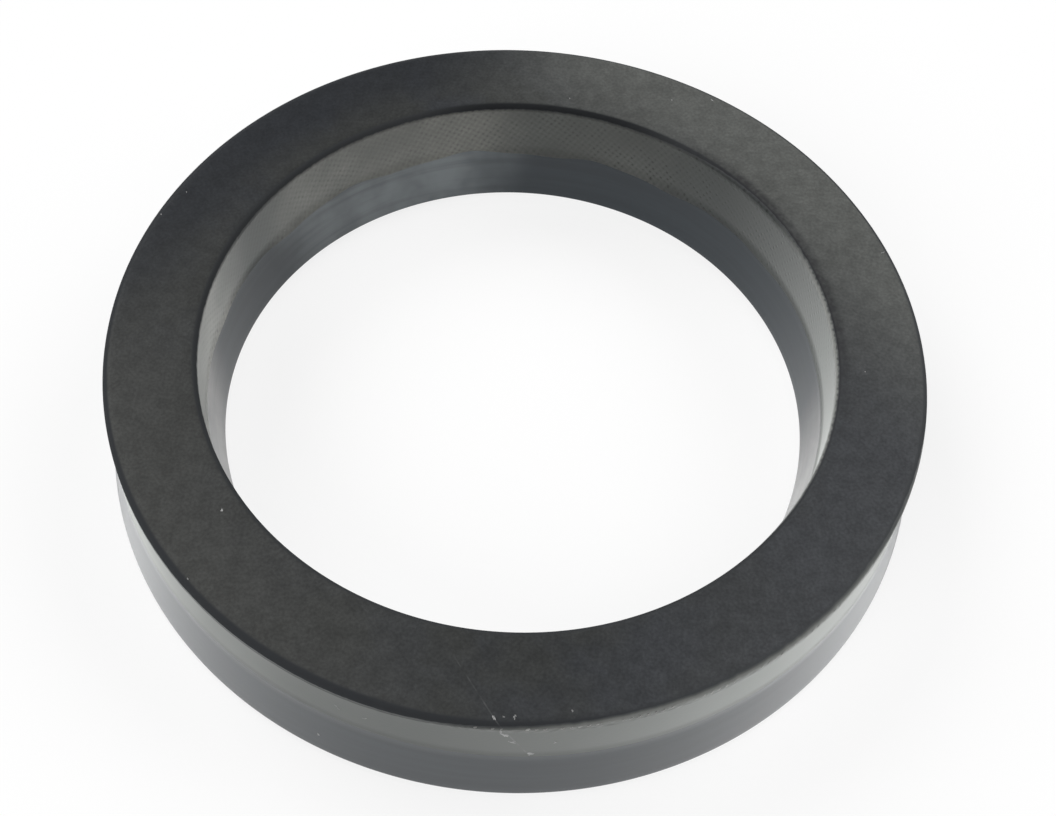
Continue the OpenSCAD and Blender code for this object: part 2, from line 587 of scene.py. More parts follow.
@dataclass(frozen=True)
class WovenWalls:
    """Rubber-soaked fabric on the heel's walls: nearly smooth outside, bare and full of pinholes inside."""

    name: str
    gloss: Gloss
    fabric: Fabric = Fabric()
    scratch: Scratch = Scratch()
    edge: EdgeShade = EdgeShade()
    crinkles: Crinkles = Crinkles(9.0)
    outer_colour: Colour = (0.0150, 0.0190, 0.0178)
    bore_colour: Colour = (0.0260, 0.0292, 0.0288)
    # Painted light on the bore's far side, where the lamps light it
    bore_painted_light: Tone = Tone(towards(100), (15 * MM, 23 * MM), (0.0670, 0.0700, 0.0655))
    # Painted highlight on the bore's far left, and painted grazing reflection on its left side
    painted_highlights: tuple[PaintedHighlight, ...] = (
        PaintedHighlight((0.172, 0.172, 0.156), towards(122)),
        PaintedHighlight((0.340, 0.335, 0.315), towards(190)),
    )
    pinhole_colour: Colour = (0.006, 0.006, 0.006)
    scratch_colour: Colour = (0.17, 0.17, 0.17)
    between_walls: Span = (27.0 * MM, 30.0 * MM)
    patches_per_metre: float = 160.0
    patch_tone: Span = (0.85, 1.15)
    roughness: Span = (0.45, 0.55)
    weave_shown: Span = (0.5, 1.0)
    outer_weave: float = 0.07
    mean_height: float = 0.4
    thread_relief: float = 0.5
    thread_tone: float = 0.34
    bare_span: Span = (5.0 * MM, 23.0 * MM)
    bare_shares: Span = (1.0, 0.35)
    pinhole_depth: float = 1.3
    fray: float = 0.14
    fray_span: Span = (-0.05, 0.3)
    # Pale line at the skin's frayed end: partly worn fabric, partly painted light on the lit front right
    # outside and the right of the bore
    worn_and_lit_colour: Colour = (0.225, 0.231, 0.220)
    worn_and_lit_begin: Span = (0.0, 0.28)
    worn_and_lit_end: Span = (0.35, 0.9)
    worn_and_lit_outer_side: Place = towards(-60)
    worn_and_lit_outer_span: Span = (26.5 * MM, 31.5 * MM)
    worn_and_lit_outer_shares: Span = (0.0, 0.7)
    worn_and_lit_bore_side: Place = towards(-4)
    worn_and_lit_bore_span: Span = (19.0 * MM, 25.0 * MM)
    relief: float = 0.0065 * MM

    def material(self) -> Material:
        """Makes the walls' material.

        Returns:
            The material.
        """
        graph = ShaderGraph(self.name)
        height, pinholes = self.fabric.weave(graph)
        patches = graph.noise(self.patches_per_metre, detail=4.0)
        in_bore = graph.ramp(graph.radius, self.between_walls, DOWN_TO_0)
        share = graph.ramp(in_bore, UP_TO_1, (self.outer_weave, 1.0))
        shown = graph.product(graph.ramp(patches, NOISE_MIDDLE, self.weave_shown), share)
        proud = graph.math("SUBTRACT", height, self.mean_height)
        toned = graph.scaled_sum(graph.product(proud, self.thread_tone), shown, 1.0)
        uneven = graph.product(graph.ramp(patches, NOISE_MOST, self.patch_tone), toned)
        cloth = graph.scaled(self.cloth(graph, patches, in_bore), uneven)
        bare = graph.near(self.painted_highlights[0].side, self.bare_span, self.bare_shares)
        pinholes = graph.product(pinholes, shown, bare)
        dotted = graph.blend(pinholes, cloth, self.pinhole_colour)
        base = self.frayed(graph, graph.product(proud, share), in_bore, dotted)
        marked = graph.blend(self.scratch.mask(graph), base, self.scratch_colour)
        raised = graph.product(height, shown, self.thread_relief)
        pierced = graph.scaled_sum(pinholes, -self.pinhole_depth, raised)
        relief = self.crinkles.over(graph, self.crinkles.grain(graph), pierced)
        self.gloss.dress(graph)
        rough = graph.ramp(patches, NOISE_WIDE, self.roughness)
        return graph.finished(marked, rough, relief, self.relief)

    def cloth(self, graph: ShaderGraph, patches: Socket, in_bore: Socket) -> Socket:
        """Makes the cloth's colour: dark outside, paler in the bore, with painted light and painted
        highlights on the bore's far and left sides.

        Args:
            graph: The material's nodes.
            patches: Slow noise.
            in_bore: A mask of the bore's wall.

        Returns:
            The colour.
        """
        bore = self.bore_painted_light.over(graph, patches, self.bore_colour)
        cloth = graph.blend(in_bore, self.outer_colour, bore)
        for highlight in self.painted_highlights:
            cloth = highlight.over(graph, in_bore, cloth)
        return cloth

    def frayed(self, graph: ShaderGraph, combed: Socket, in_bore: Socket, cloth: Socket) -> Socket:
        """Lays the skin's frayed end over the cloth, with a pale line that is partly wear and partly
        painted light.

        Args:
            graph: The material's nodes.
            combed: The threads' height about its mean, which frays the skin.
            in_bore: A mask of the bore's wall.
            cloth: The cloth's colour.

        Returns:
            The colour.
        """
        below_skin = graph.attribute("below_skin")
        frayed = graph.scaled_sum(combed, -self.fray, below_skin)
        base = graph.blend(graph.ramp(frayed, self.fray_span), self.edge.colour(graph), cloth)
        line = graph.product(
            graph.ramp(frayed, self.worn_and_lit_begin), graph.ramp(below_skin, self.worn_and_lit_end, DOWN_TO_0)
        )
        outside = graph.near(self.worn_and_lit_outer_side, self.worn_and_lit_outer_span, self.worn_and_lit_outer_shares)
        inside = graph.near(self.worn_and_lit_bore_side, self.worn_and_lit_bore_span)
        worn_and_lit_share = graph.product(line, graph.mix(in_bore, outside, inside))
        return graph.blend(worn_and_lit_share, base, self.worn_and_lit_colour)


@dataclass(frozen=True)
class SmoothLips:
    """Moulded rubber: smooth, dark and a little blue, with streaks round the ring and painted highlights in
    the bore.
    """

    gloss: Gloss = Gloss(bloom_roughness=0.34, bloom_tint=(0.975, 0.99, 1.0))
    colour: Colour = (0.0052, 0.0125, 0.0190)
    streak_colour: Colour = (0.0102, 0.0185, 0.0255)
    # Painted highlight on the bore's far left, and painted grazing reflections on the bore's left and right
    # sides
    painted_highlights: tuple[PaintedHighlight, ...] = (
        PaintedHighlight((0.176, 0.198, 0.208), towards(120)),
        PaintedHighlight((0.300, 0.290, 0.283), towards(205)),
        PaintedHighlight((0.300, 0.288, 0.278), towards(-26)),
    )
    bore_edge: Span = (25.2 * MM, 25.6 * MM)
    streaks_per_metre: float = 60.0
    streak_flatness: float = 22.0
    streak_span: Span = (0.35, 0.7)
    highlight_streaks: Span = (0.2, 0.6)
    highlight_shares: Span = (0.6, 1.0)
    streak_relief: float = 1.5
    grain_per_metre: float = 3000.0
    roughness: Span = (0.15, 0.27)
    relief: float = 0.0012 * MM

    def material(self) -> Material:
        """Makes the lips' material.

        Returns:
            The material.
        """
        graph = ShaderGraph("smooth_lips")
        flatter = (1.0, 1.0, self.streak_flatness)
        along = graph.out("ShaderNodeMapping", {"Vector": graph.place, "Scale": flatter})
        streaks = graph.noise(self.streaks_per_metre, detail=3.0, at=along)
        in_bore = graph.ramp(graph.radius, self.bore_edge, DOWN_TO_0)
        mask = graph.product(in_bore, graph.ramp(streaks, self.highlight_streaks, self.highlight_shares))
        rubber = graph.blend(graph.ramp(streaks, self.streak_span), self.colour, self.streak_colour)
        for highlight in self.painted_highlights:
            rubber = highlight.over(graph, mask, rubber)
        lines = graph.scaled_sum(streaks, self.streak_relief, graph.noise(self.grain_per_metre))
        self.gloss.dress(graph)
        rough = graph.ramp(streaks, NOISE_ALL, self.roughness)
        return graph.finished(rubber, rough, lines, self.relief)


@dataclass(frozen=True)
class Speckled:
    """A finish of two mixed colours, the rougher the more of the second one shows."""

    name: str
    per_metre: float
    mixing: Span
    colours: tuple[Colour, Colour]
    rough_mixing: Span
    roughness: Span
    gloss: Gloss

    def material(self) -> Material:
        """Makes the finish's material.

        Returns:
            The material.
        """
        graph = ShaderGraph(self.name)
        mixed = graph.ramp(graph.noise(self.per_metre), self.mixing)
        self.gloss.dress(graph)
        rough = graph.ramp(mixed, self.rough_mixing, self.roughness)
        return graph.finished(graph.blend(mixed, *self.colours), rough)


WALL_GLOSS = Gloss(ior=1.3, specular=0.4, bloom_tint=(0.970, 1.0, 0.972))
WOVEN_WALLS = WovenWalls("woven_walls", WALL_GLOSS)
FRAYED_WALLS = WovenWalls("frayed_walls", replace(WALL_GLOSS, bloom=0.4))
BARE_THREAD = Speckled(
    name="bare_thread",
    per_metre=380.0,
    mixing=(0.45, 0.7),
    colours=((0.10, 0.101, 0.098), (0.34, 0.34, 0.33)),
    rough_mixing=UP_TO_1,
    roughness=(0.65, 0.80),
    gloss=Gloss(bloom_roughness=0.5, bloom_tint=(1.0, 0.99, 0.96)),
)
PALE_LINT = Speckled(
    name="pale_lint",
    per_metre=2600.0,
    mixing=NOISE_MOST,
    colours=((0.13, 0.132, 0.132), (0.34, 0.342, 0.34)),
    rough_mixing=(0.2, 0.8),
    roughness=(0.65, 0.9),
    gloss=Gloss(),
)


@dataclass
class Section:
    """The seal's half section, from the heel's outer edge round to its inner edge. All in metres."""

    heel_outer_r: float
    heel_inner_r: float
    height: float
    lip_top_z: float
    outer_lip_r: float = 33.2 * MM
    sealing_r: float = 24.1 * MM
    heel_outer_edge_r: float = 0.7 * MM
    heel_inner_edge_r: float = 0.6 * MM
    outer_edge_z: float = 0.6 * MM
    outer_bevel_w: float = 0.5 * MM
    outer_rim_w: float = 2.0 * MM
    sealing_z: float = 1.1 * MM
    sealing_bevel_w: float = 0.8 * MM
    inner_rim_w: float = 1.9 * MM
    inner_setback: float = 0.3 * MM
    groove_side: float = math.radians(18)
    groove_root_r: float = 0.9 * MM
    lip_edge_r: float = 0.25 * MM
    sealing_edge_r: float = 0.1 * MM
    arc_step: float = math.radians(11)
    spacing: float = 0.45 * MM

    @property
    def middle_r(self) -> float:
        """Gives the radius midway between the heel's two walls."""
        return (self.heel_outer_r + self.heel_inner_r) / 2

    @property
    def bore_slope(self) -> float:
        """Gives how far the inner lip's radius changes with its height."""
        return (self.heel_inner_r - self.sealing_r) / (self.lip_top_z - self.sealing_z)

    def heel_side(self, radius: float) -> tuple[float, float]:
        """Finds the heel's wall on the side where a point lies.

        Args:
            radius: The point's radius.

        Returns:
            The wall's radius and the rounding of its upper edge.
        """
        if radius < self.middle_r:
            return self.heel_inner_r, self.heel_inner_edge_r
        return self.heel_outer_r, self.heel_outer_edge_r

    def corners(self) -> list[tuple[float, float, float]]:
        """Lists the corners as radius, height and rounding, clockwise.

        Returns:
            The eleven corners.
        """
        groove_outer_r = self.outer_lip_r - self.outer_bevel_w - self.outer_rim_w
        groove_inner_r = self.sealing_r + self.sealing_bevel_w + self.inner_rim_w
        slope = math.tan(self.groove_side)
        apex_z = (groove_outer_r - groove_inner_r) / slope / 2 + self.inner_setback / 2
        return [
            (self.heel_outer_r, self.height, self.heel_outer_edge_r),
            (self.heel_outer_r, self.lip_top_z, 0),
            (self.outer_lip_r, self.outer_edge_z, self.lip_edge_r),
            (groove_outer_r + self.outer_rim_w, 0, self.lip_edge_r),
            (groove_outer_r, 0, self.lip_edge_r),
            (groove_outer_r - apex_z * slope, apex_z, self.groove_root_r),
            (groove_inner_r, self.inner_setback, self.lip_edge_r),
            (groove_inner_r - self.inner_rim_w, self.inner_setback, self.lip_edge_r),
            (self.sealing_r, self.sealing_z, self.sealing_edge_r),
            (self.heel_inner_r, self.lip_top_z, 0),
            (self.heel_inner_r, self.height, self.heel_inner_edge_r),
        ]

    def rounded(self, index: int) -> list[Point]:
        """Gives the points of one corner: the corner itself, or the arc that rounds it.

        Args:
            index: The corner's number.

        Returns:
            The points, in the outline's order.
        """
        corners = self.corners()
        here, before, after = (Vector(corners[(index + k) % len(corners)][:2]) for k in (0, -1, 1))
        radius = corners[index][2]
        if radius == 0:
            return [tuple(here)]
        back, ahead = (before - here).normalized(), (after - here).normalized()
        half = back.angle(ahead) / 2
        centre = here + (back + ahead).normalized() * radius / math.sin(half)
        start = here + back * radius / math.tan(half) - centre
        sign = 1 if ahead.x * back.y - ahead.y * back.x > 0 else -1
        turn = sign * (math.pi - 2 * half)
        steps = math.ceil(abs(turn) / self.arc_step)
        return [tuple(centre + Matrix.Rotation(turn * k / steps, 2) @ start) for k in range(steps + 1)]

    def outline(self, extra: Iterable[Point]) -> list[Point]:
        """Draws the closed outline with points no further apart than the spacing.

        Args:
            extra: Further points that lie on the straight stretches.

        Returns:
            The points as radius and height.
        """
        drawn = [p for i in range(len(self.corners())) for p in self.rounded(i)]
        dense: list[Point] = []
        for first, last in zip(drawn, drawn[1:] + drawn[:1]):
            a, b = Vector(first), Vector(last)
            stops = [0.0] + sorted(self.stops_between(a, b, extra))
            for low, high in zip(stops, stops[1:] + [1.0]):
                cuts = max(1, math.ceil((high - low) * (b - a).length / self.spacing))
                dense += [tuple(a.lerp(b, low + (high - low) * k / cuts)) for k in range(cuts)]
        return dense

    @staticmethod
    def stops_between(a: Vector, b: Vector, extra: Iterable[Point]) -> list[float]:
        """Finds which of the extra points lie on one stretch.

        Args:
            a: The stretch's start.
            b: The stretch's end.
            extra: The points to place.

        Returns:
            Their shares of the way from a to b.
        """
        along = b - a
        found = []
        for p in extra:
            share = (Vector(p) - a).dot(along) / along.length_squared
            if 0 < share < 1 and (a.lerp(b, share) - Vector(p)).length < SAME_SPOT:
                found.append(share)
        return found

    def wall_r(self, z: float, outer: bool) -> float:
        """Gives the radius of the outer or the bore wall at a height.

        Args:
            z: The height.
            outer: True for the outer wall.

        Returns:
            The radius.
        """
        heel_r, lip_r, lip_z = self.heel_inner_r, self.sealing_r, self.sealing_z
        if outer:
            heel_r, lip_r, lip_z = self.heel_outer_r, self.outer_lip_r, self.outer_edge_z
        share = min(1.0, max(0.0, (self.lip_top_z - z) / (self.lip_top_z - lip_z)))
        return heel_r + (lip_r - heel_r) * share


@dataclass
class FabricEdge:
    """The line where the heel's fabric ends on one wall, with the small ridge that the mould left there."""

    radius: float
    z: float
    slope: float
    wave: float
    above: float
    below: float
    ridge: float
    ridge_half_w: float = 0.12 * MM
    near_wall: float = 1.0 * MM

    def rows(self) -> list[Point]:
        """Gives the outline points that the ridge needs, from its upper foot to its lower one."""
        steps = (self.ridge_half_w, 0.0, -self.ridge_half_w)
        return [(self.radius + self.slope * dz, self.z + dz) for dz in steps]

    def crest(self, point: Point) -> float:
        """Gives the ridge's height at a point of the outline, which is 0 away from the line."""
        return self.ridge if math.dist(point, (self.radius, self.z)) < SAME_SPOT else 0.0

    def sway(self, point: Point) -> float:
        """Says how far a point follows the fabric's wave.

        Args:
            point: A point of the outline, as radius and height.

        Returns:
            The wave's height on the line, falling to 0 at its reach.
        """
        if abs(point[0] - self.radius) > self.near_wall:
            return 0.0
        rise = point[1] - self.z
        reach = self.above if rise > 0 else self.below
        return max(0.0, 1 - abs(rise) / reach) * self.wave


@dataclass(frozen=True)
class SkinEnd:
    """How far the face's skin reaches down one rounded edge: less on the side that it faces."""

    degrees: float
    facing: Span
    reaches: Span

    def reach(self, graph: Graph, angle: Socket) -> Socket:
        """Makes the reach: 0 on the face, 1 where the wall begins."""
        facing = graph.math("COSINE", graph.math("SUBTRACT", angle, math.radians(self.degrees)))
        return graph.ramp(facing, self.facing, self.reaches)


@dataclass
class SealRing:
    """The seal itself: its section swept round the axis, with the fabric's wavy edge on both walls.

    A place on a rounded edge is told by its turn: 0 on the face, 1 where the wall begins, more below.
    """

    MAP = "ring_map"
    BAKE_MAP = "OFBake"
    AWAY = -1.0

    section: Section
    lips: SmoothLips = SmoothLips()
    skin: FaceSkin = FaceSkin()
    frayed: WovenWalls = FRAYED_WALLS
    walls: WovenWalls = WOVEN_WALLS
    steps: int = 600
    outer_wave: float = 0.10 * MM
    outer_wave_reach: float = 0.8 * MM
    outer_ridge: float = 0.035 * MM
    bore_fabric_drop: float = 0.55 * MM
    bore_wave: float = 0.32 * MM
    bore_wave_reach: float = 1.4 * MM
    bore_ridge: float = 0.008 * MM
    # Each wave's shape, count round the ring, phase and share
    waves: tuple[tuple[str, float, float, float], ...] = (
        ("COSINE", 13.0, 1.9, 0.75),
        ("SINE", 29.0, 0.0, 0.22),
        ("SINE", 4.0, 0.6, 0.3),
    )
    wavy_side: float = 1.9
    wavy_shares: Span = (0.45, 0.55)
    edge_stops: tuple[float, ...] = (0.0, 2 / 3, 1.0, 1.6)
    wall_rows: tuple[float, ...] = (1.2, 1.4, 1.6)
    outer_skin: SkinEnd = SkinEnd(-52, (0.55, 0.95), (1.08, 0.38))
    bore_skin: SkinEnd = SkinEnd(8, (0.50, 0.90), (0.80, 0.40))
    fray_w: float = 0.35
    ragged: float = 0.20
    rags_per_radius: float = 45.0
    deepest_flank: float = 2.0
    far_below: float = 2.0
    bake_margin: float = 0.01
    merge_reach: float = 0.001 * MM

    def fabric_edges(self) -> tuple[FabricEdge, FabricEdge]:
        """Places the fabric's edge on the outer wall and in the bore.

        Returns:
            The outer edge and the inner edge.
        """
        s, drop, reach = self.section, self.bore_fabric_drop, self.outer_wave_reach
        outer = FabricEdge(
            radius=s.heel_outer_r,
            z=s.lip_top_z,
            slope=0.0,
            wave=self.outer_wave,
            above=reach,
            below=reach,
            ridge=self.outer_ridge,
        )
        inner = FabricEdge(
            radius=s.heel_inner_r - s.bore_slope * drop,
            z=s.lip_top_z - drop,
            slope=s.bore_slope,
            wave=self.bore_wave,
            above=drop,
            below=self.bore_wave_reach,
            ridge=self.bore_ridge,
        )
        return outer, inner

    def half_section(self) -> bpy.types.Object:
        """Draws the outline as loose points that carry what the sweep needs to know.

        Returns:
            The object that the sweep is put on.
        """
        s = self.section
        outer, inner = self.fabric_edges()
        wall_rows = [
            (wall_r, s.height - edge_r * (1 + (turn - 1) * QUARTER))
            for wall_r, edge_r in map(s.heel_side, (s.heel_outer_r, s.heel_inner_r))
            for turn in self.wall_rows
        ]
        points = s.outline(outer.rows()[1:] + inner.rows() + wall_rows)
        made = new_piece("rod_seal_ring")
        made.data.from_pydata([(r, 0, z) for r, z in points], [], [])
        closed = points + points[:1]
        lengths = [math.dist(a, b) for a, b in zip(closed, closed[1:])]
        edge_of = [inner if r < s.middle_r else outer for r, _ in points]
        columns = {
            "radius": [r for r, _ in points],
            "height": [z for _, z in points],
            "arc": [sum(lengths[:i]) for i in range(len(points))],
            "sway": [e.sway(p) for e, p in zip(edge_of, points)],
            "slope": [e.slope for e in edge_of],
            "crest": [e.crest(p) for e, p in zip(edge_of, points)],
            "outward": [-1.0 if e is inner else 1.0 for e in edge_of],
            "wall_r": [s.heel_side(r)[0] for r, _ in points],
            "edge_r": [s.heel_side(r)[1] for r, _ in points],
            "turn": [self.turn_of(p) for p in points],
            "flank": [min(self.deepest_flank, (s.height - z) / s.heel_side(r)[1]) for r, z in points],
            "zone": [float(self.zone_of(a, b, outer, inner).value) for a, b in zip(closed, closed[1:])],
        }
        for name, values in columns.items():
            made.data.attributes.new(name, "FLOAT", "POINT").data.foreach_set("value", values)
        return made

    def turn_of(self, point: Point) -> float:
        """Says where on a rounded edge a point lies.

        Args:
            point: A point of the outline, as radius and height.

        Returns:
            The point's turn, or AWAY from the edges.
        """
        wall_r, edge_r = self.section.heel_side(point[0])
        if abs(point[0] - wall_r) > edge_r + SAME_SPOT:
            return self.AWAY
        depth = max(0.0, (self.section.height - point[1]) / edge_r)
        turn = math.acos(1 - depth) / QUARTER if depth <= 1 else 1 + (depth - 1) / QUARTER
        return turn if turn < self.edge_stops[-1] + SAME_TURN else self.AWAY

    def zone_of(self, a: Point, b: Point, outer: FabricEdge, inner: FabricEdge) -> Zone:
        """Says what the stretch between two points of the outline is made of.

        Args:
            a: The stretch's start.
            b: The stretch's end.
            outer: The fabric's edge on the outer wall.
            inner: The fabric's edge in the bore.

        Returns:
            The stretch's zone.
        """
        r, z = (a[0] + b[0]) / 2, (a[1] + b[1]) / 2
        if z > self.section.height - SAME_SPOT:
            return Zone.FACE
        turns = self.turn_of(a), self.turn_of(b)
        if min(turns) >= 0:
            below = [stop for stop in self.edge_stops[1:3] if sum(turns) / 2 >= stop]
            return (Zone.FACE, Zone.FRAYED, Zone.WALLS)[len(below)]
        in_groove = inner.radius + inner.near_wall < r < outer.radius - outer.near_wall
        on_heel = z > (inner.z if r < self.section.middle_r else outer.z)
        return Zone.WALLS if on_heel and not in_groove else Zone.LIPS

    def sweep(self) -> bpy.types.NodeTree:
        """Writes the tree that sweeps the outline round the axis.

        Returns:
            The geometry node tree, whose inputs are its sizes and finishes.
        """
        kinds = {"Outline": "Geometry", "Steps": "Int", "Circumference": "Float", "Outline Length": "Float"}
        kinds |= {zone.finish: "Material" for zone in Zone}
        graph, given = new_tree("sweep_round_axis", kinds, "Ring")
        outline, length = given["Outline"], given["Outline Length"]
        size = graph.add("GeometryNodeAttributeDomainSize", {"Geometry": outline}, component="MESH")
        count = size.outputs["Point Count"]
        columns, rows = (graph.math("ADD", number, 1.0) for number in (given["Steps"], count))
        grid = graph.add("GeometryNodeMeshGrid", {"Vertices X": columns, "Vertices Y": rows}).outputs
        turn_share, row_share, _ = graph.apart(grid["UV Map"])
        row = graph.math("ROUND", graph.product(row_share, count))
        row_in_loop = graph.math("MODULO", row, count)
        angle = graph.product(turn_share, TURN)

        names = "radius height arc sway slope crest outward wall_r edge_r turn flank".split()
        drawn = {name: self.sampled(graph, outline, name, row_in_loop) for name in names}
        limit = self.skin_limit(graph, angle, drawn["outward"])
        moved = self.slid(graph, drawn["turn"], limit)
        edge_spot, sunk = self.edge_place(graph, drawn, moved)
        edge_z = graph.math("SUBTRACT", self.section.height, graph.product(drawn["edge_r"], sunk))
        on_edge = graph.math("GREATER_THAN", drawn["turn"], self.AWAY / 2)

        rise = graph.product(drawn["sway"], self.fabric_wave(graph, angle))
        lean = graph.product(rise, drawn["slope"])
        shift = graph.math("ADD", lean, graph.product(drawn["crest"], drawn["outward"]))
        radius = graph.math("ADD", graph.mix(on_edge, drawn["radius"], edge_spot), shift)
        height = graph.math("ADD", graph.mix(on_edge, drawn["height"], edge_z), rise)
        x, y = (graph.product(radius, graph.math(way, angle)) for way in ("COSINE", "SINE"))

        slide = graph.product(drawn["edge_r"], drawn["outward"], QUARTER)
        slid = graph.product(graph.math("SUBTRACT", moved, drawn["turn"]), slide)
        closing = graph.math("GREATER_THAN", row, graph.math("SUBTRACT", count, 0.5))
        drawn_arc = graph.math("ADD", drawn["arc"], graph.mix(on_edge, 0.0, slid))
        arc = graph.math("ADD", drawn_arc, graph.product(closing, length))
        map_spot = graph.combined(turn_share, graph.math("DIVIDE", arc, given["Circumference"]))
        bake_spot = self.bake_spot(graph, turn_share, graph.math("DIVIDE", arc, length))
        stretch = graph.math("FLOOR", graph.product(row_share, count))
        flank = graph.mix(on_edge, drawn["flank"], sunk)
        below = graph.mix(on_edge, self.far_below, graph.math("SUBTRACT", moved, limit))
        ring = grid["Mesh"]
        for name, value, data_type, domain in (
            (self.MAP, map_spot, "FLOAT2", "CORNER"),
            (self.BAKE_MAP, bake_spot, "FLOAT2", "CORNER"),
            ("flank", flank, "FLOAT", "POINT"),
            ("below_skin", below, "FLOAT", "POINT"),
            ("zone", self.sampled(graph, outline, "zone", stretch), "FLOAT", "FACE"),
        ):
            stored = {"Geometry": ring, "Name": name, "Value": value}
            ring = graph.out("GeometryNodeStoreNamedAttribute", stored, data_type=data_type, domain=domain)
        spot = graph.combined(x, y, height)
        ring = graph.out("GeometryNodeSetPosition", {"Geometry": ring, "Position": spot})
        ring = graph.out("GeometryNodeMergeByDistance", {"Geometry": ring, "Distance": self.merge_reach})
        for kind in ("GeometryNodeFlipFaces", "GeometryNodeSetShadeSmooth", "GeometryNodeRealizeInstances"):
            ring = graph.out(kind, {0: ring})
        for zone in Zone:
            is_zone = graph.math("COMPARE", graph.named("zone"), float(zone.value), 0.5)
            dressed = {"Geometry": ring, "Selection": is_zone, "Material": given[zone.finish]}
            ring = graph.out("GeometryNodeSetMaterial", dressed)
        graph.add("NodeGroupOutput", {"Ring": ring})
        return graph.tree

    @staticmethod
    def sampled(graph: Graph, outline: Socket, name: str, row: Socket) -> Socket:
        """Reads one of the outline's columns at a row."""
        inputs = {"Geometry": outline, "Value": graph.named(name), "Index": row}
        return graph.out("GeometryNodeSampleIndex", inputs, data_type="FLOAT", domain="POINT")

    @staticmethod
    def edge_place(graph: Graph, drawn: Mapping[str, Socket], moved: Socket) -> tuple[Socket, Socket]:
        """Places a row of a rounded edge, on the rounding or on the wall below it.

        Args:
            graph: The sweep's nodes.
            drawn: The row's columns.
            moved: The row's turn.

        Returns:
            The row's radius, and its depth below the face in shares of the rounding.
        """
        bent = graph.product(graph.math("MINIMUM", moved, 1.0), QUARTER)
        lower = graph.math("MAXIMUM", graph.math("SUBTRACT", moved, 1.0), 0.0)
        bulge = graph.math("SUBTRACT", 1.0, graph.math("COSINE", bent))
        inset = graph.product(drawn["edge_r"], graph.math("SUBTRACT", 1.0, graph.math("SINE", bent)))
        radius = graph.math("SUBTRACT", drawn["wall_r"], graph.product(drawn["outward"], inset))
        return radius, graph.scaled_sum(lower, QUARTER, bulge)

    def fabric_wave(self, graph: Graph, angle: Socket) -> Socket:
        """Makes the wave that the fabric's edge follows round the ring, which is calmer away from one side.

        Args:
            graph: The sweep's nodes.
            angle: The angle round the axis.

        Returns:
            The wave, about -1 to 1.
        """
        mixed = 0.0
        for shape, count, phase, share in self.waves:
            mixed = graph.scaled_sum(graph.math(shape, graph.scaled_sum(angle, count, phase)), share, mixed)
        facing = graph.math("COSINE", graph.math("SUBTRACT", angle, self.wavy_side))
        side = graph.scaled_sum(facing, *self.wavy_shares)
        return graph.product(mixed, graph.product(side, side))

    def skin_limit(self, graph: Graph, angle: Socket, outward: Socket) -> Socket:
        """Says how far the face's skin reaches down the rounded edges, which changes round the ring.

        Args:
            graph: The sweep's nodes.
            angle: The angle round the axis.
            outward: 1 on the outer edge, -1 on the bore's edge.

        Returns:
            The turn where it ends.
        """
        outer, bore = (end.reach(graph, angle) for end in (self.outer_skin, self.bore_skin))
        even = graph.mix(graph.math("GREATER_THAN", outward, 0.0), bore, outer)
        spot = graph.combined(graph.math("COSINE", angle), graph.math("SINE", angle), outward)
        rags = {"Vector": spot, "Scale": self.rags_per_radius, "Detail": 1.0}
        noise = graph.add("ShaderNodeTexNoise", rags).outputs["Fac"]
        return graph.scaled_sum(graph.math("SUBTRACT", noise, 0.5), self.ragged, even)

    def slid(self, graph: Graph, turn: Socket, limit: Socket) -> Socket:
        """Moves the rows of a rounded edge: one to where the skin ends, and one to where the fraying ends.

        Args:
            graph: The sweep's nodes.
            turn: The turn that a row is drawn at.
            limit: The turn where the skin ends.

        Returns:
            The turn that the row goes to.
        """
        rest = graph.math("SUBTRACT", self.edge_stops[-1] - self.fray_w, limit)
        moved = 0.0
        for low, high, span in zip(self.edge_stops, self.edge_stops[1:], (limit, self.fray_w, rest)):
            part = graph.out("ShaderNodeMapRange", {"Value": turn, "From Min": low, "From Max": high})
            moved = graph.scaled_sum(part, span, moved)
        return moved

    def bake_spot(self, graph: Graph, turn: Socket, share: Socket) -> Socket:
        """Lays the ring's four quarters out as four squares of one map.

        Args:
            graph: The sweep's nodes.
            turn: The share of a full turn.
            share: The share of the outline's length.

        Returns:
            The map's coordinates.
        """
        middle = graph.out("GeometryNodeFieldOnDomain", {0: turn}, data_type="FLOAT", domain="FACE")
        quarter = graph.math("FLOOR", graph.product(middle, 4.0))
        column = graph.math("MODULO", quarter, 2.0)
        row = graph.math("FLOOR", graph.math("DIVIDE", quarter, 2.0))
        across = graph.math("SUBTRACT", graph.product(turn, 4.0), quarter)
        spans = []
        for inside, square in ((across, column), (share, row)):
            fitted = graph.scaled_sum(inside, 1 - 2 * self.bake_margin, self.bake_margin)
            spans.append(graph.product(graph.math("ADD", fitted, square), 0.5))
        return graph.combined(*spans)

    def build(self) -> bpy.types.Object:
        """Makes the ring as a plain mesh.

        Returns:
            The ring.
        """
        made = self.half_section()
        points = [v.co.copy() for v in made.data.vertices]
        values = {
            "Steps": self.steps,
            "Circumference": TURN * self.section.middle_r,
            "Outline Length": sum((a - b).length for a, b in zip(points, points[1:] + points[:1])),
        }
        finishes = (self.lips, self.skin, self.frayed, self.walls)
        values |= {zone.finish: finish.material() for zone, finish in zip(Zone, finishes)}
        return settle(made, self.sweep(), values)


